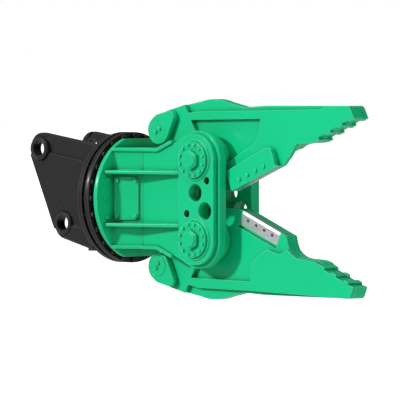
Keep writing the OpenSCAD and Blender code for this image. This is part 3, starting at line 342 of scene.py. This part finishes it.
# Width of the chamfer in metres, and the plates that have it
CHAMFERS = {
    0.0065: ["upper_core", "upper_cheek_front", "upper_cheek_back",
             "lower_core", "lower_cheek_front", "lower_cheek_back"],
    0.005: ["side_plate_front", "side_plate_back", "pivot_block_front", "pivot_block_back",
            "ear_plate_front", "ear_plate_back", "upper_holder", "turning_flange",
            "bearing_outer_ring"],
    0.004: ["deck_top", "deck_bottom", "neck_ribs", "upper_tail_lobes", "lower_tail_lobes",
            "pin_flanges", "pivot_nuts", "ear_bosses", "ear_doublers", "upper_pin_caps",
            "lower_pin_caps"],
    0.0025: ["access_covers", "upper_blade", "lower_blade"]}
# Distance in metres within which corners are one, and angles in degrees up to which faces are one
# flat and from which an edge is cut
MERGE_DISTANCE = 1e-5
FLAT_ANGLE, CUT_ANGLE = 0.5, 35


def chamfered(node, width):
    """A copy of a CAD plate, in place of the plate, with its sharp edges chamfered to that width.

    The copy's triangles are merged and its flat faces joined, then a Bevel cuts the sharp edges.
    """
    source = frame["nodes"][node]
    mesh = source.data.copy()
    mesh.transform(source.matrix_world)
    merged = bmesh.new()
    merged.from_mesh(mesh)
    bmesh.ops.remove_doubles(merged, verts=merged.verts, dist=MERGE_DISTANCE)
    bmesh.ops.dissolve_limit(merged, angle_limit=math.radians(FLAT_ANGLE), verts=merged.verts,
                             edges=merged.edges)
    merged.to_mesh(mesh)
    merged.free()
    piece = bpy.data.objects.new(f"{node}_chamfered", mesh)
    bpy.context.collection.objects.link(piece)
    cut = piece.modifiers.new("chamfer", "BEVEL")
    cut.width = width
    cut.segments = 1
    cut.limit_method = "ANGLE"
    cut.angle_limit = math.radians(CUT_ANGLE)
    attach(piece, BODY_OF[node])
    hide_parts(node)


for width, nodes in CHAMFERS.items():
    for node in nodes:
        chamfered(node, width)


# ---------------------------------------------------------------- weld beads
# Sides of a bead's section and rings to a ripple, then the ripples' pitch in millimetres and their
# height as a share of the radius
BEAD_SIDES, RIPPLE_RINGS = 8, 3
RIPPLE_PITCH = 9.0
RIPPLE_SHARE = 0.12
# Share of Y in a path's direction from which X takes its place in squaring the section
STEEP = 0.7
# Radii in millimetres of the wide and the narrow beads
WIDE_BEAD, NARROW_BEAD = 5.0, 3.6


def bead_mesh(path, radius):
    """Tube along a polyline in millimetres, with the ripples of a hand-laid weld.

    The radius at length s is radius * (1 + RIPPLE_SHARE * cos(2 pi s / RIPPLE_PITCH)), and each
    ring is the circle of that radius in the plane across the path.
    """
    rings, done = [], 0.0
    for a, b in zip(np.array(path[:-1], float), np.array(path[1:], float)):
        length = np.linalg.norm(b - a)
        along = (b - a) / length
        side = np.cross(along, (0.0, 1.0, 0.0) if abs(along[1]) < STEEP else (1.0, 0.0, 0.0))
        side /= np.linalg.norm(side)
        other = np.cross(along, side)
        steps = np.arange(0.0, length, RIPPLE_PITCH / RIPPLE_RINGS).tolist() + [length]
        for s in steps:
            r = radius * (1 + RIPPLE_SHARE * math.cos(2 * math.pi * (done + s) / RIPPLE_PITCH))
            turn = 2 * math.pi * np.arange(BEAD_SIDES) / BEAD_SIDES
            circle = np.outer(np.cos(turn), side) + np.outer(np.sin(turn), other)
            ring = a + along * s + r * circle
            rings.append([at(*p) for p in ring])
        done += length
    n = BEAD_SIDES
    points = [p for ring in rings for p in ring]
    faces = [(i * n + k, i * n + (k + 1) % n, (i + 1) * n + (k + 1) % n, (i + 1) * n + k)
             for i in range(len(rings) - 1) for k in range(n)]
    faces += [tuple(range(n))[::-1], tuple(range(len(points) - n, len(points)))]
    return points, faces


def weld_beads(name, body, slot, radius, paths):
    """One piece of weld beads along several polylines, riding on a body."""
    points, faces = [], []
    for path in paths:
        p, f = bead_mesh(path, radius)
        faces += [tuple(i + len(points) for i in face) for face in f]
        points += p
    mesh = bpy.data.meshes.new(name)
    mesh.from_pydata(points, [], faces)
    mesh.materials.append(FINISH[slot])
    mesh.polygons.foreach_set("use_smooth", [True] * len(faces))
    piece = bpy.data.objects.new(name, mesh)
    bpy.context.collection.objects.link(piece)
    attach(piece, body)


# Corners in millimetres of the neck's walls at the flange and at the side plate, and of its ribs
WALL_ROOT_Y, WALL_END_X, WALL_END_Y, RIB_END_X = 224.0, 172.0, 161.0, 480.0
WALL_HALF, RIB_LOW, RIB_HIGH = 264.0, 140.0, 160.0
# Foot of the ears in millimetres: its X, its two faces and its half height
EAR_FOOT_X, EAR_OUT_Y, EAR_IN_Y, EAR_HALF = -138.0, 228.0, 188.0, 294.0
neck_paths, seam_paths = [], []
for side in (-1, 1):
    seam_paths.append([(WALL_END_X, side * WALL_END_Y, -WALL_HALF),
                       (WALL_END_X, side * WALL_END_Y, WALL_HALF)])
    neck_paths.append([(0, side * WALL_ROOT_Y, -WALL_HALF), (0, side * WALL_ROOT_Y, WALL_HALF)])
    for z in (-RIB_HIGH, -RIB_LOW, RIB_LOW, RIB_HIGH):
        neck_paths.append([(0, side * WALL_ROOT_Y, z), (WALL_END_X, side * WALL_END_Y, z),
                           (RIB_END_X, side * WALL_END_Y, z)])
weld_beads("neck_seam_welds", "neck", "green_paint", WIDE_BEAD, seam_paths)
weld_beads("neck_welds", "neck", "green_paint", NARROW_BEAD, neck_paths)
weld_beads("ear_welds", "bracket", "black_paint", WIDE_BEAD,
           [[(EAR_FOOT_X, side * y, -EAR_HALF), (EAR_FOOT_X, side * y, EAR_HALF)]
            for side in (-1, 1) for y in (EAR_OUT_Y, EAR_IN_Y)])


# ---------------------------------------------------------------- studio and camera
WHITE = (1, 1, 1, 1)
# Strength of the white surround as light on the object, and as the camera sees it
WORLD_LIGHT, WORLD_SEEN = 0.17, 1.0
# Floor in metres: side, middle along X, drop below the CAD box; then its looks, with the glow that
# only the camera sees
FLOOR_SIZE, FLOOR_X, FLOOR_DROP = 160.0, 1.0, 1.05
FLOOR_COLOUR, FLOOR_ROUGHNESS, FLOOR_GLOW = (0.92, 0.92, 0.92, 1), 0.9, 0.9
# Place the lamps shine at, in millimetres, and their distance from it in metres
LAMP_TARGET, LAMP_DISTANCE = (500, 0, 0), 6.0
# Camera: azimuth and rise in degrees, distance and width of the view in metres, sensor in
# millimetres, far end in metres, and the place in millimetres that it looks at
AZIMUTH, RISE = 43.2, 1.41
DISTANCE, VIEW_WIDTH, SENSOR, FAR_END = 60.0, 2.272, 36.0, 900.0
CAMERA_TARGET = (469.0, 0, -7.0)


def build_world():
    """White surround: dim as a light, plain white to the camera."""
    world = bpy.data.worlds.new("studio")
    bpy.context.scene.world = world
    world.use_nodes = True
    t = world.node_tree
    back = t.nodes["Background"]
    back.inputs["Color"].default_value = WHITE
    back.inputs["Strength"].default_value = WORLD_LIGHT
    seen = t.nodes.new("ShaderNodeBackground")
    seen.inputs["Color"].default_value = WHITE
    seen.inputs["Strength"].default_value = WORLD_SEEN
    path = t.nodes.new("ShaderNodeLightPath")
    mixer = t.nodes.new("ShaderNodeMixShader")
    t.links.new(path.outputs["Is Camera Ray"], mixer.inputs[0])
    t.links.new(back.outputs[0], mixer.inputs[1])
    t.links.new(seen.outputs[0], mixer.inputs[2])
    t.links.new(mixer.outputs[0], t.nodes["World Output"].inputs[0])


def build_floor():
    """Pale matt floor below the object, lifted to white by a glow that only the camera sees."""
    floor_z = cad_box[0][2] - FLOOR_DROP
    bpy.ops.mesh.primitive_plane_add(size=1, location=(FLOOR_X, 0, floor_z))
    floor = bpy.context.object
    floor.name = "studio_floor"
    floor.data.transform(Matrix.Scale(FLOOR_SIZE, 4))
    m, t, s = start_material("pale floor")
    s.inputs["Base Color"].default_value = FLOOR_COLOUR
    s.inputs["Roughness"].default_value = FLOOR_ROUGHNESS
    s.inputs["Specular IOR Level"].default_value = 0.0
    glow = t.nodes.new("ShaderNodeEmission")
    path = t.nodes.new("ShaderNodeLightPath")
    strength = math_node(t, "MULTIPLY", path.outputs["Is Camera Ray"], FLOOR_GLOW)
    t.links.new(strength, glow.inputs["Strength"])
    both = t.nodes.new("ShaderNodeAddShader")
    t.links.new(s.outputs[0], both.inputs[0])
    t.links.new(glow.outputs[0], both.inputs[1])
    t.links.new(both.outputs[0], t.nodes["Material Output"].inputs[0])
    floor.data.materials.append(m)


def lamp(name, kind, strength, direction, **rest):
    """A lamp that shines from a direction onto the middle of the object."""
    data = bpy.data.lights.new(name, kind)
    data.energy = strength
    for key, value in rest.items():
        setattr(data, key, value)
    o = bpy.data.objects.new(name, data)
    bpy.context.collection.objects.link(o)
    d = Vector(direction).normalized()
    o.location = Vector(at(*LAMP_TARGET)) + LAMP_DISTANCE * d
    o.rotation_euler = (-d).to_track_quat("-Z", "Y").to_euler()


def build_camera():
    """Long lens at the photograph's angle, just above the object's axis."""
    azimuth, rise = math.radians(AZIMUTH), math.radians(RISE)
    back = Vector((math.sin(azimuth) * math.cos(rise), -math.cos(azimuth) * math.cos(rise),
                   math.sin(rise)))
    data = bpy.data.cameras.new("camera")
    data.lens = SENSOR * DISTANCE / VIEW_WIDTH
    data.sensor_width = SENSOR
    data.clip_end = FAR_END
    camera = bpy.data.objects.new("camera", data)
    bpy.context.collection.objects.link(camera)
    camera.location = Vector(at(*CAMERA_TARGET)) + back * DISTANCE
    camera.rotation_euler = (-back).to_track_quat("-Z", "Y").to_euler()
    bpy.context.scene.camera = camera


build_world()
build_floor()
lamp("key", "SUN", 2.35, (-0.33, -0.84, 0.43), angle=math.radians(6))
lamp("top panel", "AREA", 110.0, (0.1, -0.35, 0.95), shape="RECTANGLE", size=5.0, size_y=2.5)
lamp("side panel", "AREA", 55.0, (0.95, -0.3, 0.1), shape="RECTANGLE", size=2.5, size_y=4.0)
build_camera()
bpy.context.scene.view_settings.view_transform = "Standard"
